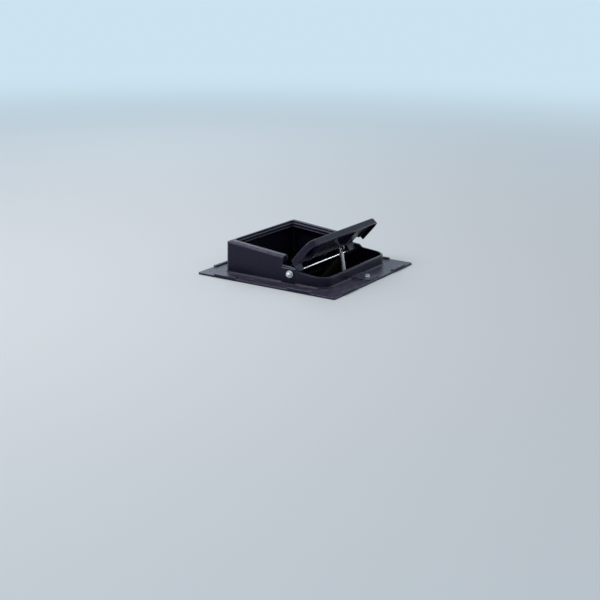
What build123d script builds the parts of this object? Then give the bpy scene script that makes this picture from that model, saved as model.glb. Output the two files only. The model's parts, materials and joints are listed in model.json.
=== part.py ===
from build123d import *
import os

# Chimney top damper: a cast frame that sits on a flue tile, with a lid that
# tips about a cross rod. Millimetres; X is across, -Y the low front, +Z up.
# The origin is the middle of the flange's underside.

# frame casting
flange_size = 330.0
flange_thick = 4.0
flange_corner = 4.0
side_ledge = 35.5
front_ledge = 42.5
rear_ledge = 45.0
wall = 5.0
wall_draft = 0.3
front_corner = 28.0
rear_corner = 10.0
base_bevel = 3.0
body_half = flange_size / 2 - side_ledge
body_front = front_ledge - flange_size / 2
body_rear = flange_size / 2 - rear_ledge
beyond = flange_size

# the rod that the lid turns on
rod_back = 81.5
rod_y = body_front + rod_back
rod_z = 25.5
rod_dia = 6.35
roof_slope = 5.6
open_angle = 49.2
fit_gap = 0.3
slip = 0.05

# levels measured square to the closed lid, from the rod's centre
plate_thick = 4.0
plate_top = 15.0
plate_low = plate_top - plate_thick
gasket_thick = 2.6
gasket_width = 8.0
collar_level = plate_low - gasket_thick - fit_gap
ledge_rise = 5.0
ledge_level = collar_level + ledge_rise
seat_level = plate_top + gasket_thick + fit_gap
seat_thick = 3.0
rim_low = seat_level + seat_thick
crest_level = 31.2
rim_step_deep = 5.0
rim_step_wide = 2.6
shoulder_wide = 8.5
shoulder_fall = 3.5
shoulder_round = 1.5
riser_round = 2.5
collar_ease = 1.2

# places along the closed lid, from the rod, + to the rear
riser_at = 22.0
ramp_low = -19.0
ramp_high = -11.0
rim_wide = 20.0
rim_half = body_half - rim_wide
rim_rear = body_rear - rod_y - rim_wide / 2 + 0.5
rim_corner = 6.0

# raised strips and notch at the flange's edge
strip_wide = 8.0
strip_slant = 2.0
strip_long = 54.0
strip_high = 3.4
strip_inset = 55.0
front_inset = 32.0
rear_inset = 42.0
notch_x = 10.0
notch_radius = 3.0
notch_deep = 2.4

# seat strip and its screws
seat_lip = 2.0
seat_clear = 1.2
seat_end = 4.6
seat_corner = 4.0
seat_screw_dia = 4.0
seat_screw_grip = 5.0
seat_screw_in = 6.5
seat_screw_end = 2.5
seat_screw_along = 58.0

# lid casting
lid_over = 8.5
lid_half = body_half + lid_over
lid_front = rod_back + 5.3
lid_corner = 20.0
lid_notch = 27.0
lid_edge_round = 2.8
lip_thick = 3.6
lip_depth = 14.0
tail_clear = 11.5
tail_half = body_half - tail_clear
tail_rear = rim_rear + 2.5
tail_corner = 8.0
rib_thick = 3.0
rib_depth = 5.0
rib_sink = 0.1
rib_spots = (-66.0, 0.0, 66.0)
cross_half = tail_half - 12.0
cross_spots = (-70.0, -20.0, 60.0, tail_rear - 14.0)
lug_radius = 9.0
lug_foot = 5.0
lug_wide = 26.0
lug_inner = tail_half - lug_wide

# gaskets
front_seal_half = body_half + 1.5
front_seal_end = rod_back + 1.1
front_seal_start = -28.0
rear_seal_half = tail_half - 1.0
rear_seal_end = tail_rear - 0.6
rear_seal_start = riser_at + 2.0

# pivot hardware
bush_od = 9.6
bush_flange = 1.2
bush_flange_rise = 2.0
cap_nut_af = 11.1
cap_nut_tall = 9.5
cap_nut_dome = 0.42 * cap_nut_af
rod_in_nut = 7.0
washer_od = 15.0
washer_thick = 1.2
pad_out = 2.2
pad_front = rod_y - 13.0
pad_rear = rod_y + 21.0
pad_below = 2.5
pad_corner = 2.0

# pull eye and spring
eye_at = 52.8
eye_drop = 20.3
eye_ring = 5.6
eye_wire = 3.6
eye_thread = 5.0
eye_above = 8.0
eye_boss = 1.1
nut_af = 8.0
nut_tall = 3.6
eye_washer_od = 11.0
eye_washer_thick = 1.0
spring_lean = 10.5
spring_dia = 8.6
spring_wire = 1.4
spring_turns = 12
spring_long = 41.8
loop_radius = 4.0

# front pad and its screw
front_pad_half = 23.0
front_pad_reach = 3.0
front_pad_corner = 5.0
screw_in = 20.0
screw_dia = 6.0
screw_af = 10.0
screw_head = 3.0
pad_washer_od = 13.0

# inner stops and keeper eye
stop_deep = 15.5
stop_inner = body_half - wall - stop_deep
stop_at = 30.0
stop_long = 14.0
stop_foot = 6.0
bumper_thick = 2.5
bumper_size = 12.0
keeper_y = body_front + 28.5
keeper_z = 21.0
keeper_ring = 3.2
keeper_wire = 1.7
keeper_reach = 12.0
keeper_grip = 3.5

# shapes of hexagon heads and of faceted wire
hex_low = 0.66
hex_top = 0.55
wire_sides = 12
wire_bevel = 0.29

rod_place = Pos(0, rod_y, rod_z)
shut = rod_place * Rot(X=roof_slope)
ajar = rod_place * Rot(X=-open_angle)


def rounded(x_half, y_low, y_high, r_low, r_high):
    """Rectangle across X with one radius at its low-Y corners and one at its high-Y corners."""
    face = Pos(0, (y_low + y_high) / 2) * Rectangle(2 * x_half, y_high - y_low)
    low = face.vertices().sort_by(Axis.Y)[:2]
    face = fillet(low, r_low) if r_low else face
    high = face.vertices().group_by(Axis.Y)[-1]
    return fillet(high, r_high) if r_high else face


def side_profile(points, x_low, x_high):
    """Solid with a Y-Z outline, running along X."""
    face = make_face(Polyline(*[(0, y, z) for y, z in points], close=True))
    solid = extrude(face, amount=x_high - x_low, dir=(1, 0, 0))
    return Pos(x_low, 0, 0) * solid


def rod_along_x(radius, x_low, x_high):
    """Cylinder on the rod's line."""
    return Pos((x_low + x_high) / 2, 0, 0) * Rot(Y=90) * Cylinder(radius, x_high - x_low)


def many_sided(radius, tall, bevel, bore=0):
    """Disc of short facets standing on its base, its sharp rims bevelled, with a bore if asked."""
    face = RegularPolygon(radius, wire_sides)
    if bore:
        face = face - RegularPolygon(bore, wire_sides, major_radius=False)
    disc = extrude(face, tall)
    return chamfer(disc.edges().filter_by(Axis.Z, reverse=True), bevel)


def wire_ring(radius, wire):
    """Wire bent to a closed ring around Z, in short facets."""
    half = wire / 2
    return Pos(0, 0, -half) * many_sided(radius + half, wire, wire * wire_bevel, radius - half)


def body_block():
    """Flange with the solid body on it, its top cut to the sloped outline."""
    flange = extrude(RectangleRounded(flange_size, flange_size, flange_corner), flange_thick)
    foot = rounded(body_half, body_front, body_rear, front_corner, rear_corner)
    tall = rod_z + 2 * crest_level
    block = Pos(0, 0, flange_thick) * extrude(foot, tall, taper=wall_draft)
    solid = flange + block
    base = solid.edges().filter_by_position(Axis.Z, flange_thick - 0.01, flange_thick + 0.01)
    inside = flange_size / 2 - strip_wide
    base = base.filter_by(lambda edge: abs(edge.center().X) < inside and abs(edge.center().Y) < inside)
    solid = chamfer(base, base_bevel)
    above = [
        (-beyond, collar_level),
        (ramp_low, collar_level),
        (ramp_high, ledge_level),
        (riser_at, ledge_level),
        (riser_at, crest_level),
        (beyond, crest_level),
        (beyond, beyond),
        (-beyond, beyond),
    ]
    return solid - shut * side_profile(above, -beyond, beyond)


def on_level(shape, level):
    """Edges whose middle lies on a level of the closed lid."""
    back = shut.inverse()
    return shape.edges().filter_by(lambda edge: abs((back * Pos(edge.center())).position.Z - level) < 0.05)


def softened(solid):
    """Sloped shoulder round the tall rim, and eased edges on the riser and the low collar."""
    outer = on_level(solid, crest_level).sort_by(Axis.Y)[1:]
    top = solid.faces().sort_by(Axis.Z)[-1]
    solid = chamfer(outer, shoulder_wide, shoulder_fall, reference=top)
    riser = on_level(solid, crest_level).sort_by(Axis.Y)[0]
    solid = fillet(riser, riser_round)
    low = on_level(solid, crest_level - shoulder_fall)
    solid = fillet(low, shoulder_round)
    front = rod_y + ramp_low - wall
    collar = on_level(solid, collar_level).filter_by(lambda edge: edge.center().Y < front)
    return chamfer(collar, collar_ease)


def hollowed(solid):
    """Cuts the cavity, then the rim's opening with its step; the rim stays over the walls."""
    inner = rounded(
        body_half - wall,
        body_front + wall,
        body_rear - wall,
        front_corner - wall,
        rear_corner - wall,
    )
    cavity = Pos(0, 0, -1) * extrude(inner, beyond)
    above = Box(2 * beyond, beyond, beyond, align=(Align.CENTER, Align.MIN, Align.MIN))
    solid = solid - (cavity - shut * Pos(0, riser_at, rim_low) * above)
    mouth = rounded(rim_half, -riser_at, rim_rear, 0, rim_corner)
    solid = solid - shut * Pos(0, 0, rim_low - 1) * extrude(mouth, crest_level)
    half = rim_half + rim_step_wide
    upper = rounded(half, -riser_at, rim_rear + rim_step_wide, 0, rim_corner + rim_step_wide)
    return solid - shut * Pos(0, 0, crest_level - rim_step_deep) * extrude(upper, crest_level)


def edge_strips():
    """Short raised strips on the flange's edges, two to a side, near the corners."""
    out = flange_size / 2
    outline = Polyline(
        (out, 0, flange_thick / 2),
        (out, 0, flange_thick + strip_high),
        (out - strip_wide + strip_slant, 0, flange_thick + strip_high),
        (out - strip_wide, 0, flange_thick / 2),
        close=True,
    )
    one = extrude(make_face(outline), amount=strip_long, dir=(0, 1, 0))
    ends = ((0, strip_inset, rear_inset), (90, strip_inset, strip_inset), (270, front_inset, front_inset))
    strips = []
    for turn, near, far in ends:
        strips.append(Rot(Z=turn) * Pos(0, near - out, 0) * one)
        strips.append(Rot(Z=turn) * Pos(0, out - far - strip_long, 0) * one)
    left = [mirror(strip, Plane.YZ) for strip in strips[:2]]
    return strips + left


def pivot_pads():
    """Thickened pads on both side walls, where the rod comes through."""
    long = pad_rear - pad_front
    top = rod_z + ledge_level - pad_below
    outline = RectangleRounded(pad_out + wall, long, pad_corner)
    middle = body_half + (pad_out - wall) / 2
    return [Pos(side * middle, (pad_front + pad_rear) / 2, 0) * extrude(outline, top) for side in (-1, 1)]


def stop_lugs():
    """Cast lugs inside the side walls that carry the bumpers."""
    level = plate_low - fit_gap - bumper_thick
    tip = (ajar * Pos(0, stop_at - stop_long / 2, level)).position
    toe = (ajar * Pos(0, stop_at + stop_long / 2, level)).position
    outline = [
        (tip.Y, tip.Z),
        (toe.Y, toe.Z),
        (toe.Y, 0),
        (tip.Y - stop_foot, 0),
        (tip.Y - stop_foot, tip.Z - flange_thick),
    ]
    reach = body_half - wall / 2
    return [side_profile(outline, -reach, -stop_inner), side_profile(outline, stop_inner, reach)]


def front_pad():
    """Raised pad in front of the collar for its screw."""
    long = front_ledge - front_pad_reach + wall / 2
    outline = RectangleRounded(2 * front_pad_half, long, front_pad_corner)
    middle = front_pad_reach - flange_size / 2 + long / 2
    return Pos(0, middle, flange_thick / 2) * extrude(outline, flange_thick / 2 + strip_high)


def frame_casting():
    """Flange, sloped housing, low collar, strips, pads and lugs in one casting."""
    solid = hollowed(softened(body_block()))
    for extra in edge_strips() + pivot_pads() + stop_lugs() + [front_pad()]:
        solid = solid + extra
    solid = solid - rod_place * rod_along_x(rod_dia / 2, -beyond, beyond)
    solid = solid - Pos(0, screw_in - flange_size / 2, 0) * Cylinder(screw_dia / 2, 10 * flange_thick)
    solid = solid - Pos(notch_x, -flange_size / 2, 0) * Cylinder(notch_radius, 2 * notch_deep)
    for spot in seat_screw_spots():
        hole = Cylinder(seat_screw_dia / 2 - fit_gap / 2, 2 * seat_screw_grip)
        solid = solid - shut * Pos(*spot, rim_low) * hole
    thread = Rot(Y=90) * Cylinder(keeper_wire / 2, 2 * keeper_grip)
    return solid - Pos(wall - body_half, keeper_y, keeper_z) * thread


def seat_screw_spots():
    """Places of the seat's screws on the closed lid's plane."""
    side = rim_half + seat_screw_in
    middle = riser_at + seat_screw_along
    return [(-side, middle), (side, middle), (0, rim_rear + seat_screw_end)]


def rear_seat():
    """U-shaped seat strip under the housing's rim, with its screw holes."""
    half = body_half - wall - seat_clear
    outer = rounded(half, riser_at + seat_clear, rim_rear + seat_end, 0, seat_corner)
    inner = rounded(rim_half - seat_lip, -riser_at, rim_rear - seat_lip, 0, seat_corner)
    strip = Pos(0, 0, seat_level) * extrude(outer - inner, seat_thick)
    radius = seat_screw_dia / 2
    sink = Pos(0, 0, radius / 2 - 0.01) * Cone(2 * radius, radius, radius)
    for spot in seat_screw_spots():
        strip = strip - Pos(*spot, seat_level) * Cylinder(radius + fit_gap / 2, 4 * seat_thick)
        strip = strip - Pos(*spot, seat_level) * sink
    return shut * strip


def seat_screws():
    """Countersunk screws that hold the seat strip up against the rim."""
    radius = seat_screw_dia / 2
    head = Pos(0, 0, radius / 2) * Cone(2 * radius - slip, radius - slip, radius)
    long = seat_thick + seat_screw_grip - fit_gap
    shank = Pos(0, 0, long / 2) * Cylinder(radius - fit_gap / 2 - slip, long)
    screw = head + shank
    return [shut * Pos(*spot, seat_level) * screw for spot in seat_screw_spots()]


def lid_ribs():
    """Stiffening ribs under the plate."""
    ribs = []
    low = plate_low - rib_depth / 2
    for x in rib_spots:
        start = cross_spots[0] if x else cross_spots[1]
        long = cross_spots[-1] - start
        ribs.append(Pos(x, start + long / 2, low) * Box(rib_thick, long, rib_depth + 2 * rib_sink))
    for y in cross_spots:
        ribs.append(Pos(0, y, low) * Box(2 * cross_half, rib_thick, rib_depth + 2 * rib_sink))
    return ribs


def pivot_lugs():
    """Lugs under the lid that turn on the rod, each with a web up to the plate."""
    foot = lug_radius + lug_foot
    outline = [
        (-lug_radius, 0),
        (lug_radius, 0),
        (foot, plate_low + rib_sink),
        (-foot, plate_low + rib_sink),
    ]
    lugs = []
    for low, high in ((-tail_half, -lug_inner), (lug_inner, tail_half)):
        lugs.append(side_profile(outline, low, high) + rod_along_x(lug_radius, low, high))
    return lugs


def lid_casting():
    """Lid: a lipped cap over the low collar and a flat tail that seals under the rim."""
    plan = rounded(lid_half, -lid_front, -lid_notch, lid_corner, 0)
    cap = Pos(0, 0, plate_top - lip_depth) * extrude(plan, lip_depth)
    inside = lid_corner - lip_thick
    room = rounded(lid_half - lip_thick, lip_thick - lid_front, 0, inside, 0)
    cap = cap - Pos(0, 0, -lip_depth) * extrude(room, lip_depth + plate_low)
    tail = rounded(tail_half, -lid_notch - tail_corner, tail_rear, 0, tail_corner)
    solid = cap + Pos(0, 0, plate_low) * extrude(tail, plate_thick)
    solid = fillet(solid.faces().sort_by(Axis.Z)[-1].edges(), lid_edge_round)
    for extra in lid_ribs() + pivot_lugs():
        solid = solid + extra
    boss = Cylinder(eye_washer_od / 2 + eye_boss, 2 * eye_boss)
    solid = solid + Pos(0, -eye_at, plate_low) * boss
    solid = solid - Pos(0, -eye_at, 0) * Cylinder(eye_thread / 2 + fit_gap / 3, 4 * plate_top)
    return solid - rod_along_x(bush_od / 2, -lid_half, lid_half)


def seal_ring(half, y_low, y_high, r_low, r_high):
    """U-shaped gasket strip of the common width, open at the end that has no radius."""
    outer = rounded(half, y_low, y_high, r_low, r_high)
    inner = rounded(
        half - gasket_width,
        y_low + gasket_width * (r_low > 0),
        y_high - gasket_width * (r_high > 0),
        max(r_low - gasket_width, 0),
        max(r_high - gasket_width, 0),
    )
    return extrude(outer - inner, gasket_thick)


def front_gasket():
    """Soft strip under the cap that lands on the collar."""
    radius = front_corner + front_seal_half - body_half
    ring = seal_ring(front_seal_half, -front_seal_end, front_seal_start, radius, 0)
    return Pos(0, 0, plate_low - gasket_thick) * ring


def rear_gasket():
    """Soft strip on the tail that lands under the seat."""
    radius = gasket_width + seat_lip
    ring = seal_ring(rear_seal_half, rear_seal_start, rear_seal_end, 0, radius)
    return Pos(0, 0, plate_top) * ring


def bushing(side):
    """Flanged plain bearing pressed into a lug."""
    sleeve = rod_along_x(bush_od / 2, lug_inner, tail_half)
    collar = rod_along_x(bush_od / 2 + bush_flange_rise, tail_half, tail_half + bush_flange)
    body = sleeve + collar - rod_along_x(rod_dia / 2 + slip, 0, body_half)
    return body if side > 0 else mirror(body, Plane.YZ)


def spacer(side):
    """Tube on the rod that keeps the lid centred between the walls."""
    low = tail_half + bush_flange + fit_gap
    high = body_half - wall
    tube = rod_along_x(bush_od / 2, low, high) - rod_along_x(rod_dia / 2, 0, body_half)
    return tube if side > 0 else mirror(tube, Plane.YZ)


def pivot_rod():
    """Plain rod through both walls with bevelled ends inside the cap nuts."""
    half = body_half + pad_out + washer_thick + rod_in_nut
    rod = rod_along_x(rod_dia / 2, -half, half)
    return chamfer(rod.edges().filter_by(GeomType.CIRCLE), rod_dia / 8)


def hex_head(across, tall):
    """Hexagon head standing on its base, its top corners turned off."""
    prism = extrude(RegularPolygon(across / 2, 6, major_radius=False), tall)
    return prism & Pos(0, 0, tall / 2) * Cone(across * hex_low, across * hex_top, tall)


def cap_nuts():
    """Domed nuts on the rod's ends."""
    waist = cap_nut_tall - cap_nut_dome
    dome = Pos(0, 0, waist) * Sphere(cap_nut_dome, arc_size1=0)
    nut = hex_head(cap_nut_af, waist) + dome
    nut = nut - Cylinder(rod_dia / 2, 2 * (rod_in_nut + fit_gap))
    place = body_half + pad_out + washer_thick
    return [Pos(side * place, 0, 0) * Rot(Y=90 * side) * nut for side in (-1, 1)]


def flat_washer(outer, bore, thick):
    """Plain ring standing on its base."""
    ring = Circle(outer / 2) - Circle(bore / 2)
    return extrude(ring, thick)


def rod_washers():
    """Flat washers between the cap nuts and the pads."""
    ring = flat_washer(washer_od, rod_dia, washer_thick)
    place = body_half + pad_out
    return [Pos(side * place, 0, 0) * Rot(Y=90 * side) * ring for side in (-1, 1)]


def eye_centre():
    """Middle of the pull eye's ring, in the lid's own axes."""
    return (0, -eye_at, plate_low - eye_drop)


def pull_eye():
    """Closed eye on a threaded shank through the cap."""
    ring = Rot(Y=90) * wire_ring(eye_ring, eye_wire)
    long = eye_drop - eye_ring + plate_thick + eye_above
    shank = Pos(0, 0, eye_ring + long / 2) * Cylinder(eye_thread / 2, long)
    return Pos(*eye_centre()) * (ring + shank)


def eye_fasteners():
    """Nut and washer on each side of the plate, on the eye's shank."""
    nut = hex_head(nut_af, nut_tall) - Cylinder(eye_thread / 2, 4 * nut_tall)
    disc = flat_washer(eye_washer_od, eye_thread + fit_gap, eye_washer_thick)
    above = Pos(0, -eye_at, plate_top)
    below = Pos(0, -eye_at, plate_low - eye_boss) * Rot(X=180)
    nuts = [spot * Pos(0, 0, eye_washer_thick) * nut for spot in (above, below)]
    discs = [spot * disc for spot in (above, below)]
    return nuts, discs


def pull_spring():
    """Close-wound spring with a round loop at each end, hanging from the pull eye."""
    pitch = spring_long / spring_turns
    turn = many_sided(spring_dia / 2, pitch, spring_wire)
    loop = Rot(X=90) * wire_ring(loop_radius, spring_wire)
    reach = loop_radius - spring_wire / 2
    body = Pos(0, 0, spring_long + reach) * loop + Pos(0, 0, -reach) * loop
    for step in range(spring_turns):
        body = body + Pos(0, 0, step * pitch) * turn
    hang = eye_ring - eye_wire / 2 - spring_wire / 2 - fit_gap / 3
    drop = hang + loop_radius + reach + spring_long
    centre = (ajar * Pos(*eye_centre())).position
    return Pos(centre) * Rot(X=-spring_lean) * Pos(0, 0, -drop) * body


def bumper(side):
    """Rubber pad on a stop lug, where the open lid rests."""
    pad = extrude(RectangleRounded(bumper_size, bumper_size, bumper_size / 6), bumper_thick)
    level = plate_low - fit_gap - bumper_thick
    return ajar * Pos(side * (stop_inner + stop_deep / 2), stop_at, level) * pad


def pad_screw():
    """Hexagon screw in the front pad."""
    long = flange_thick + strip_high
    shank = Pos(0, 0, fit_gap - long / 2) * Cylinder(screw_dia / 2, long)
    screw = hex_head(screw_af, screw_head) + shank
    return Pos(0, screw_in - flange_size / 2, flange_thick + strip_high + washer_thick) * screw


def pad_washer():
    """Washer under the pad's screw."""
    ring = flat_washer(pad_washer_od, screw_dia + fit_gap, washer_thick)
    return Pos(0, screw_in - flange_size / 2, flange_thick + strip_high) * ring


def keeper_eye():
    """Small wire eye screwed into the inner face of the left collar wall."""
    ring_x = keeper_reach - keeper_ring
    ring = Pos(ring_x, 0, 0) * Rot(X=90) * wire_ring(keeper_ring, keeper_wire)
    long = ring_x - keeper_ring + keeper_grip - fit_gap
    shank = Pos(ring_x - keeper_ring - long / 2, 0, 0) * Rot(Y=90) * Cylinder(keeper_wire / 2, long)
    return Pos(wall - body_half, keeper_y, keeper_z) * (ring + shank)


def placed(where, shape):
    """Moves one solid, or each solid of a like set."""
    if isinstance(shape, list):
        return [where * one for one in shape]
    return where * shape


def build():
    """All pieces in the open rest position, by node."""
    nuts, discs = eye_fasteners()
    pieces = {
        "frame_casting": frame_casting(),
        "rear_seat": rear_seat(),
        "seat_screws": seat_screws(),
        "left_bumper": bumper(-1),
        "right_bumper": bumper(1),
        "pull_spring": pull_spring(),
        "pad_screw": pad_screw(),
        "pad_washer": pad_washer(),
        "keeper_eye": keeper_eye(),
    }
    on_rod = {
        "pivot_rod": pivot_rod(),
        "rod_cap_nuts": cap_nuts(),
        "rod_washers": rod_washers(),
        "left_spacer": spacer(-1),
        "right_spacer": spacer(1),
    }
    on_lid = {
        "lid_casting": lid_casting(),
        "front_gasket": front_gasket(),
        "rear_gasket": rear_gasket(),
        "left_bushing": bushing(-1),
        "right_bushing": bushing(1),
        "pull_eye": pull_eye(),
        "eye_nuts": nuts,
        "eye_washers": discs,
    }
    pieces.update({name: placed(rod_place, shape) for name, shape in on_rod.items()})
    pieces.update({name: placed(ajar, shape) for name, shape in on_lid.items()})
    return pieces


os.makedirs("parts", exist_ok=True)
for node, shape in build().items():
    solid = Compound(children=shape) if isinstance(shape, list) else shape
    export_step(solid, "parts/" + node + ".step")
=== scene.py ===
import json
import math

import bmesh
import bpy
from bpy.props import FloatProperty, FloatVectorProperty, IntProperty, PointerProperty
from bpy.types import Operator, Panel, PropertyGroup
from mathutils import Matrix, Vector


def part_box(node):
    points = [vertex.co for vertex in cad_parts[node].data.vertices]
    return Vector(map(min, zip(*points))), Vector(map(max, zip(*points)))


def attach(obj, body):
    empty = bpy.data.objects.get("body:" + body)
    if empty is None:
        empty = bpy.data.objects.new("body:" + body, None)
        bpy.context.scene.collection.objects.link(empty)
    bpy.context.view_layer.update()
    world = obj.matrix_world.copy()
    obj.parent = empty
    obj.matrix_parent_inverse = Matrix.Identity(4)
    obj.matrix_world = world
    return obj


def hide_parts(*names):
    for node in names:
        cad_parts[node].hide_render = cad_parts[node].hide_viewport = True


bl_info = {
    "name": "Chimney top damper looks",
    "version": (1, 0, 0),
    "blender": (4, 5, 0),
    "location": "View3D > Sidebar > Damper",
    "description": "Coats, plates and lights a chimney top damper on its packed frame",
    "category": "Object",
}

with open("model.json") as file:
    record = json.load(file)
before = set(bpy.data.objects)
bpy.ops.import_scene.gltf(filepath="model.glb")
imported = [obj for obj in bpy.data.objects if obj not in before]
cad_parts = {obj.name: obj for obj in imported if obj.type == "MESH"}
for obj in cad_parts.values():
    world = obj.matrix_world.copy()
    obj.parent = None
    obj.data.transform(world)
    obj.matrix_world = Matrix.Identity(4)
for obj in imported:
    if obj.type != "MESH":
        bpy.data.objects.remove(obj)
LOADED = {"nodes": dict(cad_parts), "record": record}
MM = 0.001

# The camera, fitted to the flange and the body: turn, rise and roll in degrees,
# distance and offsets from the flange's middle in metres, lens and sensor in
# millimetres, nearest and farthest depth in metres.
CAMERA_TURN = -57.81
CAMERA_RISE = 16.68
CAMERA_ROLL = 0.78
CAMERA_FAR = 2.439
CAMERA_RIGHT = -0.01534
CAMERA_UP = -0.06543
CAMERA_LENS = 68.88
CAMERA_SENSOR = 36.0
CAMERA_NEAREST = 0.05
CAMERA_FARTHEST = 60.0

# How far a rounded normal leans off the true one where an edge starts to show and
# where it is at its sharpest, and the samples that round it.
EDGE_FAINT = 0.02
EDGE_SHARP = 0.25
EDGE_SAMPLES = 6

# Powder coat: tint and share of its gloss, the cast ripple and dust specks in
# features per metre, and how far ripple and grain stand up.
COAT_TINT = (0.8, 0.78, 1.0, 1.0)
COAT_GLOSS = 0.36
CAST_RIPPLES = 110.0
DUST_SPECKS = 1400.0
RIPPLE_RISE = 3.2
GRAIN_RISE = 0.8
COAT_BUMP = 0.6
COAT_BUMP_DEPTH = 0.3 * MM

# Shares of dust that the ripple and the specks hold, the least upward turn that dust
# and painted sky light lie on, and what ripple and grain add to the roughness and rubbing takes off.
RIPPLE_DUST = 0.1
SPECK_DUST = 0.08
DUST_AND_SKY_SLOPE = 0.75
RIPPLE_ROUGH = 0.1
GRAIN_ROUGH = 0.08
RUBBED_POLISH = 0.08

# Metals: roughness and share of smut.
METAL_WEAR = {
    "bright_steel": (0.24, 0.2),
    "dull_steel": (0.34, 0.35),
    "turned_steel": (0.26, 0.2),
    "ground_steel": (0.12, 0.08),
    "sintered_bronze": (0.38, 0.3),
    "spring_wire": (0.3, 0.3),
    "eye_wire": (0.3, 0.35),
}

# Turning marks and smut on metal: features per metre, how the marks are drawn out,
# how far both stand up, what they add to the roughness, and the edges' radius.
TURNING_MARKS = 2600.0
MARKS_DRAWN = (0.15, 1.0, 1.0)
METAL_SMUT = 160.0
MARKS_RISE = 0.3
SMUT_RISE = 0.4
MARKS_ROUGH = 0.12
SMUT_ROUGH = 0.1
EDGE_POLISH = 0.05
METAL_BUMP = 0.15
METAL_BUMP_DEPTH = 0.1 * MM
PLATED_EDGE = 0.4 * MM

# Rubber: bloom and grain in features per metre, roughness, what the bloom adds to
# it, and how far the grain stands up.
RUBBER_BLOOM = 110.0
RUBBER_GRAIN = 2200.0
RUBBER_ROUGH = 0.62
BLOOM_ROUGH = 0.15
RUBBER_BUMP = 0.3
RUBBER_BUMP_DEPTH = 0.1 * MM

# Turn between two faces, in degrees, from which their shared edge stays sharp.
CAST_CREASE = 28.0
THREAD_CREASE = 50.0
FLOOR_CREASE = 60.0

# Pull spring: lean in degrees, its loops' radius, the wound part's length and mean
# radius, the neck between loop and coil, how far its top sits in from the node's
# rear side, as a share of the loop's radius, and steps to a turn of the coil.
SPRING_LEAN = -10.5
SPRING_LOOP = 4.0 * MM
SPRING_WOUND = 41.8 * MM
SPRING_MEAN = 3.95 * MM
SPRING_NECK = 0.7 * MM
SPRING_TUCK = 0.2
COIL_STEPS = 12

# Steps that round a bent wire, across it and between two of its points.
WIRE_ROUNDING = 3
WIRE_SMOOTHING = 3

# The spring's loops: steps round one, where the top and the low one start their
# bend, and how far they sweep, in degrees.
LOOP_STEPS = 14
TOP_LOOP_START = 250.0
LOW_LOOP_START = 70.0
LOOP_SWEEP = 320.0

# Pull eye: tilt with the open lid in degrees, ring radius, wire, shank and its
# length beyond the ring, thread pitch and depth.
PULL_TILT = -49.2
PULL_RING = 5.6 * MM
PULL_WIRE = 3.6 * MM
PULL_SHANK = 5.0 * MM
PULL_SHANK_LONG = 26.7 * MM
PULL_PITCH = 0.8 * MM
PULL_CUT = 0.35 * MM

# Keeper eye: ring radius, wire, thread pitch and depth, and the ring's middle from
# the node's free end.
KEEPER_RING = 3.2 * MM
KEEPER_WIRE = 1.7 * MM
KEEPER_PITCH = 0.5 * MM
KEEPER_CUT = 0.15 * MM
KEEPER_INSET = 4.05 * MM

# Corners round a wire eye, round its wire, and rows to a turn of its thread; how far
# the shank sinks into the ring, as a share of the wire, and its share left plain.
EYE_AROUND = 48
WIRE_AROUND = 14
THREAD_ROWS = 8
SHANK_SUNK = 0.2
SHANK_PLAIN = 0.3

# Half widths and heights of the floor's rings, in metres: flat, then swept up.
FLOOR_RINGS = ((4.0, 0.0), (5.2, 0.12), (6.2, 0.5), (6.9, 1.2), (7.3, 2.2), (7.4, 3.6))
FLOOR_ROUGH = 0.8
FLOOR_FADE_START = 0.5
FLOOR_FADE_END = 4.2

# Pit under the flange, painted near black as shade: half width and depth in metres, its
# bottom and four sides, and its surface.
PIT_HALF = 0.125
PIT_DEPTH = 0.6
PIT_FACES = 5
PIT_SHADE_COLOUR = (0.002, 0.002, 0.002)
PIT_ROUGH = 0.9

# Lamps: place, aim, width in metres, share of the key light's power, and colour.
LAMPS = {
    "key": ((-1.1, 0.75, 1.9), (0.0, 0.0, 0.0), 1.5, 1.0, (1.0, 0.99, 0.97)),
    "rim": ((1.3, 1.5, 1.5), (0.0, 0.0, 0.05), 1.2, 0.4, (0.9, 0.95, 1.0)),
    "fill": ((1.78, -0.99, 0.84), (0.0, -0.04, 0.03), 0.3, 0.06, (1.0, 0.98, 0.96)),
}
SKY_COLOUR = (0.8, 0.88, 0.96, 1.0)


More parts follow.
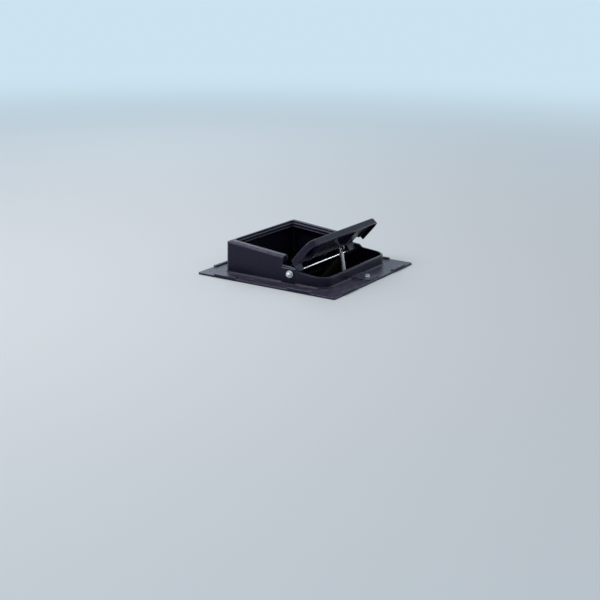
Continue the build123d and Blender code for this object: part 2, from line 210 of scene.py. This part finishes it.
class Tap:
    """An output socket of a shader tree that can be summed, scaled and fed to further nodes."""

    def __init__(self, tree, socket):
        self.tree = tree
        self.socket = socket

    def node(self, kind, settings=None, sockets=None, out=0):
        """Adds a node: its settings first, then its socket values or links."""
        made = self.tree.nodes.new(kind)
        for name, value in (settings or {}).items():
            setattr(made, name, value)
        for name, value in (sockets or {}).items():
            if isinstance(value, Tap):
                self.tree.links.new(value.socket, made.inputs[name])
            else:
                made.inputs[name].default_value = value
        return Tap(self.tree, made.outputs[out])

    def is_wide(self):
        """True for a colour or a vector."""
        return self.socket.type in {"RGBA", "VECTOR"}

    def maths(self, operation, first, second):
        """A Math node, or a Vector Math node where either side is wide."""
        sides = [first, second]
        if any(isinstance(side, Tap) and side.is_wide() for side in sides):
            sides = [(side,) * 3 if isinstance(side, (int, float)) else side for side in sides]
            return self.node("ShaderNodeVectorMath", {"operation": operation}, dict(enumerate(sides)))
        return self.node("ShaderNodeMath", {"operation": operation}, dict(enumerate(sides)))

    def __add__(self, other):
        return self.maths("ADD", self, other)

    def __radd__(self, other):
        return self.maths("ADD", other, self)

    def __sub__(self, other):
        return self.maths("SUBTRACT", self, other)

    def __rsub__(self, other):
        return self.maths("SUBTRACT", other, self)

    def __mul__(self, other):
        return self.maths("MULTIPLY", self, other)

    def __rmul__(self, other):
        return self.maths("MULTIPLY", other, self)

    def ramp(self, low, high, to_low=0.0, to_high=1.0):
        """Smooth step of this value from one range to another."""
        sockets = {"Value": self, "From Min": low, "From Max": high, "To Min": to_low, "To Max": to_high}
        return self.node("ShaderNodeMapRange", {"interpolation_type": "SMOOTHSTEP"}, sockets)

    def blend(self, first, second):
        """Mixes two colours by this factor."""
        sockets = {0: self, 6: first, 7: second}
        return self.node("ShaderNodeMix", {"data_type": "RGBA"}, sockets, out=2)

    def noise(self, scale, detail=2.0, roughness=0.5, stretch=(1.0, 1.0, 1.0)):
        """Cloudy noise over this vector, features about 1 / scale metres across."""
        sockets = {"Vector": self * stretch, "Scale": scale, "Detail": detail, "Roughness": roughness}
        return self.node("ShaderNodeTexNoise", {}, sockets, out="Fac")


def new_material(name, metallic=0.0):
    """A material with its own shader, and the object's coordinates to paint on it."""
    material = bpy.data.materials.new(name)
    material.use_nodes = True
    shader = material.node_tree.nodes["Principled BSDF"]
    shader.inputs["Metallic"].default_value = metallic
    place = material.node_tree.nodes.new("ShaderNodeTexCoord")
    return material, shader, Tap(material.node_tree, place.outputs["Object"])


def feed(shader, **taps):
    """Links taps to a shader's sockets, named with _ for spaces."""
    for name, tap in taps.items():
        tap.tree.links.new(tap.socket, shader.inputs[name.replace("_", " ")])


def sharp_edge_mask(where, radius):
    """1 on sharp edges and 0 on flats, from how far a rounded normal leans off the true one."""
    rounded = where.node("ShaderNodeBevel", {"samples": EDGE_SAMPLES}, {"Radius": radius})
    true = where.node("ShaderNodeNewGeometry", out="Normal")
    sides = {0: rounded, 1: true}
    match = where.node("ShaderNodeVectorMath", {"operation": "DOT_PRODUCT"}, sides, out="Value")
    return (1.0 - match).ramp(EDGE_FAINT, EDGE_SHARP), rounded


def powder_coat(name, look, top_dust_and_sky):
    """Satin black powder coat on a sand casting: cast ripple, fine peel, dust with painted sky light on
    upward faces, and rubbed edges with painted highlights.
    """
    material, shader, where = new_material(name)
    ripple = where.noise(CAST_RIPPLES, 3.0, 0.6)
    grain = where.noise(1.0 / (look.grain_size * MM), 3.0, 0.6)
    speck = where.noise(DUST_SPECKS, 1.0)
    edge, rounded = sharp_edge_mask(where, look.edge_round * MM)
    shader.inputs["Specular Tint"].default_value = COAT_TINT
    shader.inputs["Specular IOR Level"].default_value = COAT_GLOSS
    colour = tuple(look.coat_colour) + (1.0,)
    dust_and_sky_colour = tuple(look.coat_dust_and_sky) + (1.0,)
    bare_and_highlit = tuple(look.rubbed_and_highlight_colour) + (1.0,)
    facing = where.node("ShaderNodeNewGeometry", out="Normal")
    up = where.node("ShaderNodeSeparateXYZ", {}, {"Vector": facing}, out="Z")
    # Dust and painted sky light: the frame's upward faces are lightened towards the dust colour, which
    # stands in for the sky's light on them as well as settled dust.
    dust_and_sky_on_top = up.ramp(DUST_AND_SKY_SLOPE, 1.0) * top_dust_and_sky * ripple.ramp(0.25, 0.7, 0.55, 1.0)
    dust_and_sky = ripple.ramp(0.45, 0.75) * RIPPLE_DUST + speck.ramp(0.62, 0.8) * SPECK_DUST + dust_and_sky_on_top
    # Painted highlights: sharp edges are lightened to a pale blue, standing in for light caught on the
    # edges as well as rubbed coat.
    rubbed_and_highlit = edge * grain.ramp(0.35, 0.62, 0.35, 1.0)
    base = rubbed_and_highlit.blend(dust_and_sky.ramp(0.0, 1.0).blend(colour, dust_and_sky_colour), bare_and_highlit)
    rough = look.coat_rough + ripple * RIPPLE_ROUGH + grain * GRAIN_ROUGH - edge * RUBBED_POLISH
    height = grain * GRAIN_RISE + ripple * RIPPLE_RISE
    bump = where.node(
        "ShaderNodeBump",
        {},
        {"Strength": COAT_BUMP, "Distance": COAT_BUMP_DEPTH, "Height": height, "Normal": rounded},
    )
    feed(shader, Base_Color=base, Roughness=rough, Normal=bump)
    return material


def bright_metal(name, colour):
    """Plated, stainless or bronze surface with fine turning marks and a little smut."""
    rough, smut = METAL_WEAR[name]
    material, shader, where = new_material(name, metallic=1.0)
    lines = where.noise(TURNING_MARKS, 1.0, 0.5, MARKS_DRAWN)
    stain = where.noise(METAL_SMUT, 3.0, 0.6)
    edge, rounded = sharp_edge_mask(where, PLATED_EDGE)
    dark = tuple(channel * (1.0 - smut) for channel in colour) + (1.0,)
    base = stain.ramp(0.4, 0.7).blend(tuple(colour) + (1.0,), dark)
    height = lines * MARKS_RISE + stain * SMUT_RISE
    bump = where.node(
        "ShaderNodeBump",
        {},
        {"Strength": METAL_BUMP, "Distance": METAL_BUMP_DEPTH, "Height": height, "Normal": rounded},
    )
    roughness = rough + lines * MARKS_ROUGH + stain * SMUT_ROUGH - edge * EDGE_POLISH
    feed(shader, Base_Color=base, Roughness=roughness, Normal=bump)
    return material


def soft_rubber(name, colour):
    """Matt moulded rubber with a dusty bloom."""
    material, shader, where = new_material(name)
    bloom = where.noise(RUBBER_BLOOM, 4.0, 0.6)
    grain = where.noise(RUBBER_GRAIN, 2.0)
    pale = tuple(min(1.0, channel * 2.2 + 0.01) for channel in colour) + (1.0,)
    base = bloom.ramp(0.45, 0.8).blend(tuple(colour) + (1.0,), pale)
    sockets = {"Strength": RUBBER_BUMP, "Distance": RUBBER_BUMP_DEPTH, "Height": grain}
    bump = where.node("ShaderNodeBump", {}, sockets)
    feed(shader, Base_Color=base, Roughness=RUBBER_ROUGH + bloom * BLOOM_ROUGH, Normal=bump)
    return material


def paint(names, material):
    """Gives CAD nodes a finish in place of their plain one."""
    nodes = LOADED["nodes"]
    for name in names:
        slots = nodes[name].data.materials
        slots.clear()
        slots.append(material)


def smooth(names):
    """Shades round faces of CAD nodes smoothly and keeps their sharp edges."""
    for name in names:
        mesh = LOADED["nodes"][name].data
        mesh.shade_smooth()
        mesh.set_sharp_from_angle(angle=math.radians(CAST_CREASE))


class DamperLook(PropertyGroup):
    """Sizes and colours of the damper's looks."""

    coat_colour: FloatVectorProperty(
        name="Coat colour",
        description="Colour of the powder coat",
        default=(0.0066, 0.0054, 0.0165),
        subtype="COLOR",
    )
    # Dust colour, also painted as sky light on the frame's upward faces.
    coat_dust_and_sky: FloatVectorProperty(
        name="Coat dust",
        description="Colour of the coat where dust lies on it",
        default=(0.13, 0.112, 0.165),
        subtype="COLOR",
    )
    # Rubbed edges' colour, also painted as highlights on the coat's edges.
    rubbed_and_highlight_colour: FloatVectorProperty(
        name="Rubbed edges",
        description="Colour of the coat where its edges are rubbed",
        default=(0.16, 0.15, 0.24),
        subtype="COLOR",
    )
    coat_rough: FloatProperty(
        name="Coat roughness",
        description="Roughness of the powder coat",
        default=0.27,
    )
    # Share of dust and painted sky light that lightens the frame's upward faces.
    top_dust_and_sky_share: FloatProperty(
        name="Settled dust",
        description="Share of dust on the frame's upward faces",
        default=0.45,
        subtype="FACTOR",
    )
    grain_size: FloatProperty(
        name="Cast grain",
        description="Size of the cast grain under the coat, in millimetres",
        default=1.6,
    )
    edge_round: FloatProperty(
        name="Edge round",
        description="Radius that coated edges look rounded by, in millimetres",
        default=3.0,
    )
    steel_colour: FloatVectorProperty(
        name="Bright steel",
        description="Colour of the rod, nuts and washers",
        default=(0.86, 0.86, 0.88),
        subtype="COLOR",
    )
    rod_colour: FloatVectorProperty(
        name="Rod steel",
        description="Colour of the ground cross rod",
        default=(0.95, 0.95, 0.96),
        subtype="COLOR",
    )
    dull_colour: FloatVectorProperty(
        name="Dull steel",
        description="Colour of the wire eyes, their nuts and washers, and the seat screws",
        default=(0.26, 0.26, 0.29),
        subtype="COLOR",
    )
    wire_colour: FloatVectorProperty(
        name="Spring wire",
        description="Colour of the spring's wire",
        default=(0.85, 0.84, 0.82),
        subtype="COLOR",
    )
    bronze_colour: FloatVectorProperty(
        name="Bushing bronze",
        description="Colour of the lid's bushings",
        default=(0.36, 0.2, 0.08),
        subtype="COLOR",
    )
    rubber_colour: FloatVectorProperty(
        name="Rubber",
        description="Colour of the gaskets and bumpers",
        default=(0.008, 0.008, 0.009),
        subtype="COLOR",
    )
    spring_turns: IntProperty(
        name="Spring turns",
        description="Turns in the pull spring's close-wound part",
        default=25,
    )
    spring_wire: FloatProperty(
        name="Spring wire size",
        description="Diameter of the spring's wire",
        default=0.00165,
        unit="LENGTH",
    )
    floor_colour: FloatVectorProperty(
        name="Floor colour",
        description="Colour of the plain floor",
        default=(0.66, 0.68, 0.7),
        subtype="COLOR",
    )
    backdrop_colour: FloatVectorProperty(
        name="Backdrop colour",
        description="Colour that the floor fades to behind the damper",
        default=(0.6, 0.77, 0.88),
        subtype="COLOR",
    )
    key_power: FloatProperty(
        name="Key light",
        description="Power of the large soft light, in watts",
        default=26.0,
    )
    sky_strength: FloatProperty(
        name="Sky strength",
        description="Strength of the pale surround",
        default=0.55,
    )


class DamperCoat(Operator):
    """Powder-coats the frame, the lid and the seat strip."""

    bl_idname = "damper.coat_castings"
    bl_label = "Coat the castings"

    def execute(self, context):
        look = context.scene.damper_look
        paint(["frame_casting"], powder_coat("frame_powder_coat", look, look.top_dust_and_sky_share))
        paint(["lid_casting", "rear_seat"], powder_coat("lid_powder_coat", look, 0.0))
        smooth(["frame_casting", "lid_casting", "rear_seat"])
        return {"FINISHED"}


class DamperHardware(Operator):
    """Gives the rod, nuts, washers, screws, spacers and bushings their metals."""

    bl_idname = "damper.plate_hardware"
    bl_label = "Plate the hardware"

    def execute(self, context):
        look = context.scene.damper_look
        bright = ["rod_cap_nuts", "rod_washers", "pad_screw", "pad_washer"]
        dull = ["eye_nuts", "eye_washers", "seat_screws"]
        turned = ["left_spacer", "right_spacer"]
        ground = ["pivot_rod"]
        bronze = ["left_bushing", "right_bushing"]
        paint(bright, bright_metal("bright_steel", look.steel_colour))
        paint(dull, bright_metal("dull_steel", look.dull_colour))
        paint(turned, bright_metal("turned_steel", look.steel_colour))
        paint(ground, bright_metal("ground_steel", look.rod_colour))
        paint(bronze, bright_metal("sintered_bronze", look.bronze_colour))
        smooth(bright + dull + turned + ground + bronze)
        return {"FINISHED"}


class DamperRubber(Operator):
    """Gives the gaskets and bumpers their rubber."""

    bl_idname = "damper.fit_rubber"
    bl_label = "Fit the rubber"

    def execute(self, context):
        look = context.scene.damper_look
        soft = ["front_gasket", "rear_gasket", "left_bumper", "right_bumper"]
        paint(soft, soft_rubber("matt_rubber", look.rubber_colour))
        smooth(soft)
        return {"FINISHED"}


def spring_loop(loop, middle, start):
    """Points of an end loop of the spring, its middle at a height, bent from a start angle."""
    points = []
    for step in range(LOOP_STEPS + 1):
        angle = math.radians(start - LOOP_SWEEP * step / LOOP_STEPS)
        points.append(Vector((loop * math.cos(angle), 0.0, middle + loop * math.sin(angle))))
    return points


def spring_path(length, loop, mean, turns):
    """Points of the spring's wire, top loop first, around a vertical axis from 0 down to -length."""
    points = spring_loop(loop, loop, TOP_LOOP_START)
    coil_steps = turns * COIL_STEPS
    for step in range(coil_steps + 1):
        angle = math.tau * step / COIL_STEPS
        points.append(Vector((mean * math.cos(angle), mean * math.sin(angle), -length * step / coil_steps)))
    return points + spring_loop(loop, -length - loop, LOW_LOOP_START)


def wire(name, points, diameter, place):
    """Round wire along a smooth curve through a space, set at a place."""
    data = bpy.data.curves.new(name, "CURVE")
    data.dimensions = "3D"
    data.bevel_depth = diameter / 2
    data.bevel_resolution = WIRE_ROUNDING
    data.resolution_u = WIRE_SMOOTHING
    data.use_fill_caps = True
    spline = data.splines.new("NURBS")
    spline.points.add(len(points) - 1)
    for point, spot in zip(spline.points, points):
        point.co = (*spot, 1.0)
    spline.order_u = 3
    spline.use_endpoint_u = True
    made = bpy.data.objects.new(name, data)
    bpy.context.scene.collection.objects.link(made)
    made.matrix_world = place
    return made


class DamperSpring(Operator):
    """Winds the pull spring from wire, with a loop at each end."""

    bl_idname = "damper.wind_spring"
    bl_label = "Wind the spring"

    def execute(self, context):
        look = context.scene.damper_look
        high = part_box("pull_spring")[1]
        lean = math.radians(SPRING_LEAN)
        down = Vector((0.0, math.sin(lean), -math.cos(lean)))
        top = Vector((0.0, high.y - SPRING_LOOP * SPRING_TUCK, high.z))
        start = top + down * (2.0 * SPRING_LOOP + SPRING_NECK)
        place = Matrix.Translation(start) @ Matrix.Rotation(lean, 4, "X")
        points = spring_path(SPRING_WOUND, SPRING_LOOP, SPRING_MEAN, look.spring_turns)
        spring = wire("wound_spring", points, look.spring_wire, place)
        spring.data.materials.append(bright_metal("spring_wire", look.wire_colour))
        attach(spring, "spring")
        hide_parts("pull_spring")
        return {"FINISHED"}


def skin_loops(mesh, loops):
    """Quads between each closed loop of corners and the next."""
    for low, high in zip(loops, loops[1:]):
        for part in range(len(low)):
            after = (part + 1) % len(low)
            mesh.faces.new((low[part], low[after], high[after], high[part]))


def ring_loops(mesh, ring, wire_size):
    """Loops of corners round a wire ring that lies round the local X axis."""
    loops = []
    for step in range(EYE_AROUND):
        turn = math.tau * step / EYE_AROUND
        loop = []
        for part in range(WIRE_AROUND):
            tilt = math.tau * part / WIRE_AROUND
            reach = ring + wire_size / 2 * math.cos(tilt)
            spot = (wire_size / 2 * math.sin(tilt), reach * math.sin(turn), reach * math.cos(turn))
            loop.append(mesh.verts.new(spot))
        loops.append(loop)
    return loops


def shank_loops(mesh, start, end, plain_end, size, pitch, cut):
    """Loops of corners up a shank round the local Z axis, threaded above its plain part."""
    around = 2 * WIRE_AROUND
    loops = []
    for row in range(int((end - start) / pitch * THREAD_ROWS) + 1):
        high = start + row * pitch / THREAD_ROWS
        loop = []
        for part in range(around):
            turn = math.tau * part / around
            phase = (high / pitch + part / around) % 1.0
            groove = cut * (1.0 - abs(2.0 * phase - 1.0)) if high > plain_end else 0.0
            reach = size / 2 - groove
            loop.append(mesh.verts.new((reach * math.cos(turn), reach * math.sin(turn), high)))
        loops.append(loop)
    return loops


def ring_and_shank(name, ring, wire_size, shank_size, shank_long, pitch, cut):
    """Wire eye round the local X axis, with a threaded shank up Z from its top."""
    mesh = bmesh.new()
    loops = ring_loops(mesh, ring, wire_size)
    skin_loops(mesh, loops + loops[:1])
    start = ring - wire_size * SHANK_SUNK
    plain_end = ring + shank_long * SHANK_PLAIN
    loops = shank_loops(mesh, start, ring + shank_long, plain_end, shank_size, pitch, cut)
    skin_loops(mesh, loops)
    mesh.faces.new(loops[-1])
    mesh.faces.new(list(reversed(loops[0])))
    bmesh.ops.recalc_face_normals(mesh, faces=mesh.faces)
    data = bpy.data.meshes.new(name)
    mesh.to_mesh(data)
    mesh.free()
    data.shade_smooth()
    data.set_sharp_from_angle(angle=math.radians(THREAD_CREASE))
    made = bpy.data.objects.new(name, data)
    bpy.context.scene.collection.objects.link(made)
    return made


def record_joint(name):
    """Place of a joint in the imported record."""
    for joint in LOADED["record"]["behaviour"]["joints"]:
        if joint["name"] == name:
            return Vector(joint["pos_m"])
    raise KeyError(name)


def eye_places():
    """Each wire eye's name, body, node, slot, place and sizes."""
    tilt = Matrix.Rotation(math.radians(PULL_TILT), 4, "X")
    pull = Matrix.Translation(record_joint("spring_hang")) @ tilt
    pull_sizes = (PULL_RING, PULL_WIRE, PULL_SHANK, PULL_SHANK_LONG, PULL_PITCH, PULL_CUT)
    low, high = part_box("keeper_eye")
    middle = Vector((high.x - KEEPER_INSET, (low.y + high.y) / 2, (low.z + high.z) / 2))
    laid = Matrix.Rotation(math.radians(-90.0), 4, "Y")
    turned = Matrix.Rotation(math.radians(90.0), 4, "Z")
    keeper = Matrix.Translation(middle) @ (laid @ turned)
    keeper_long = middle.x - low.x - KEEPER_RING
    keeper_sizes = (KEEPER_RING, KEEPER_WIRE, KEEPER_WIRE, keeper_long, KEEPER_PITCH, KEEPER_CUT)
    return [
        ("bent_pull_eye", "lid", "pull_eye", "eye_steel", pull, pull_sizes),
        ("bent_keeper_eye", "frame", "keeper_eye", "dull_wire", keeper, keeper_sizes),
    ]


class DamperEyes(Operator):
    """Bends the pull eye and the keeper eye from round wire with cut threads."""

    bl_idname = "damper.bend_eyes"
    bl_label = "Bend the wire eyes"

    def execute(self, context):
        look = context.scene.damper_look
        metal = bright_metal("eye_wire", look.dull_colour)
        for name, body, node, slot, place, sizes in eye_places():
            eye = ring_and_shank(name, *sizes)
            eye.matrix_world = place
            eye.data.materials.append(metal)
            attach(eye, body)
            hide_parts(node)
        return {"FINISHED"}


def camera_matrix():
    """Place and turn of the camera."""
    turn = math.radians(CAMERA_TURN)
    rise = math.radians(CAMERA_RISE)
    roll = math.radians(CAMERA_ROLL)
    back = Vector((math.sin(turn) * math.cos(rise), -math.cos(turn) * math.cos(rise), math.sin(rise)))
    flat_right = (-back).cross(Vector((0.0, 0.0, 1.0))).normalized()
    flat_up = flat_right.cross(-back)
    right = flat_right * math.cos(roll) + flat_up * math.sin(roll)
    up = flat_up * math.cos(roll) - flat_right * math.sin(roll)
    spot = back * CAMERA_FAR + right * CAMERA_RIGHT + up * CAMERA_UP
    turned = Matrix((right, up, back)).transposed().to_4x4()
    return Matrix.Translation(spot) @ turned


def plain_surface(name, colour, rough):
    """Plain matt stage surface."""
    material = bpy.data.materials.new(name)
    material.use_nodes = True
    shader = material.node_tree.nodes["Principled BSDF"]
    shader.inputs["Base Color"].default_value = tuple(colour) + (1.0,)
    shader.inputs["Roughness"].default_value = rough
    return material


def fading_floor(near, far):
    """Pale floor that takes shadows near the damper and shows a plain colour far from it."""
    material, shader, where = new_material("stage_floor")
    shader.inputs["Base Color"].default_value = tuple(near) + (1.0,)
    shader.inputs["Roughness"].default_value = FLOOR_ROUGH
    path = where.node("ShaderNodeLightPath", out="Is Camera Ray")
    glossy = Tap(path.tree, path.socket.node.outputs["Is Glossy Ray"])
    through = Tap(path.tree, path.socket.node.outputs["Is Transmission Ray"])
    away = where.node("ShaderNodeVectorMath", {"operation": "LENGTH"}, {0: where}, out="Value")
    share = (path + glossy + through).ramp(0.0, 1.0) * away.ramp(FLOOR_FADE_START, FLOOR_FADE_END)
    glow = where.node("ShaderNodeEmission", {}, {"Color": tuple(far) + (1.0,), "Strength": 1.0})
    lit = Tap(where.tree, shader.outputs[0])
    mixed = where.node("ShaderNodeMixShader", {}, {0: share, 1: lit, 2: glow})
    surface = material.node_tree.nodes["Material Output"].inputs["Surface"]
    material.node_tree.links.new(mixed.socket, surface)
    return material


def pitted_bowl(hole, depth, rings):
    """Corners and faces, the pit's first, of a square floor that rises at its far edges."""
    spots = [(-1, -1), (1, -1), (1, 1), (-1, 1)]
    levels = [(hole, -depth), (hole, 0.0)] + list(rings)
    corners = [(x * reach, y * reach, high) for reach, high in levels for x, y in spots]
    faces = [(3, 2, 1, 0)]
    for ring in range(len(levels) - 1):
        for side in range(4):
            low = 4 * ring + side
            after = 4 * ring + (side + 1) % 4
            faces.append((low, after, after + 4, low + 4))
    return corners, faces


def soft_light(name, spot, aim, size, power, colour):
    """Square area lamp aimed at a point."""
    data = bpy.data.lights.new(name, "AREA")
    data.shape = "SQUARE"
    data.size = size
    data.energy = power
    data.color = colour
    lamp = bpy.data.objects.new(name, data)
    bpy.context.scene.collection.objects.link(lamp)
    lamp.location = spot
    lamp.rotation_euler = (Vector(aim) - Vector(spot)).to_track_quat("-Z", "Y").to_euler()
    return lamp


def lay_floor(scene, look):
    """Floor with a pit under the flange, painted near black as shade."""
    corners, faces = pitted_bowl(PIT_HALF, PIT_DEPTH, FLOOR_RINGS)
    mesh = bpy.data.meshes.new("stage_floor")
    mesh.from_pydata(corners, [], faces)
    floor = bpy.data.objects.new("stage_floor", mesh)
    scene.collection.objects.link(floor)
    mesh.materials.append(fading_floor(look.floor_colour, look.backdrop_colour))
    # Painted shade: the pit's faces are near black, standing in for the dark flue below.
    mesh.materials.append(plain_surface("stage_pit_painted_shade", PIT_SHADE_COLOUR, PIT_ROUGH))
    for face in mesh.polygons[:PIT_FACES]:
        face.material_index = 1
    mesh.shade_smooth()
    mesh.set_sharp_from_angle(angle=math.radians(FLOOR_CREASE))


def light_stage(scene, look):
    """Soft lamps and a pale sky."""
    for name, (spot, aim, size, share, colour) in LAMPS.items():
        soft_light(name, spot, aim, size, look.key_power * share, colour)
    world = bpy.data.worlds.new("pale_sky")
    world.use_nodes = True
    sky = world.node_tree.nodes["Background"]
    sky.inputs["Color"].default_value = SKY_COLOUR
    sky.inputs["Strength"].default_value = look.sky_strength
    scene.world = world


def set_camera(scene):
    """The camera that the damper is seen with."""
    data = bpy.data.cameras.new("photo_camera")
    data.lens = CAMERA_LENS
    data.sensor_width = CAMERA_SENSOR
    data.clip_start = CAMERA_NEAREST
    data.clip_end = CAMERA_FARTHEST
    camera = bpy.data.objects.new("photo_camera", data)
    scene.collection.objects.link(camera)
    camera.matrix_world = camera_matrix()
    scene.camera = camera


class DamperStage(Operator):
    """Sets the floor, the light and the camera."""

    bl_idname = "damper.set_stage"
    bl_label = "Set the stage"

    def execute(self, context):
        scene = context.scene
        look = scene.damper_look
        lay_floor(scene, look)
        light_stage(scene, look)
        scene.view_settings.view_transform = "Standard"
        set_camera(scene)
        return {"FINISHED"}


STEPS = (DamperCoat, DamperHardware, DamperRubber, DamperEyes, DamperSpring, DamperStage)


class DamperPanel(Panel):
    """The damper's steps and settings in the 3D view's sidebar."""

    bl_idname = "VIEW3D_PT_damper"
    bl_label = "Chimney top damper"
    bl_space_type = "VIEW_3D"
    bl_region_type = "UI"
    bl_category = "Damper"

    def draw(self, context):
        look = context.scene.damper_look
        for name in look.bl_rna.properties.keys():
            if name not in {"rna_type", "name"}:
                self.layout.prop(look, name)
        for step in STEPS:
            self.layout.operator(step.bl_idname)


def register():
    """Adds the settings, operators and panel to Blender."""
    bpy.utils.register_class(DamperLook)
    bpy.types.Scene.damper_look = PointerProperty(type=DamperLook)
    for part in STEPS + (DamperPanel,):
        bpy.utils.register_class(part)


def unregister():
    """Takes them away again."""
    for part in reversed(STEPS + (DamperPanel,)):
        bpy.utils.unregister_class(part)
    del bpy.types.Scene.damper_look
    bpy.utils.unregister_class(DamperLook)


def main():
    """Builds the damper's looks, step by step."""
    register()
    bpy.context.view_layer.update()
    bpy.ops.damper.coat_castings()
    bpy.ops.damper.plate_hardware()
    bpy.ops.damper.fit_rubber()
    bpy.ops.damper.bend_eyes()
    bpy.ops.damper.wind_spring()
    bpy.ops.damper.set_stage()


if __name__ == "__main__":
    main()
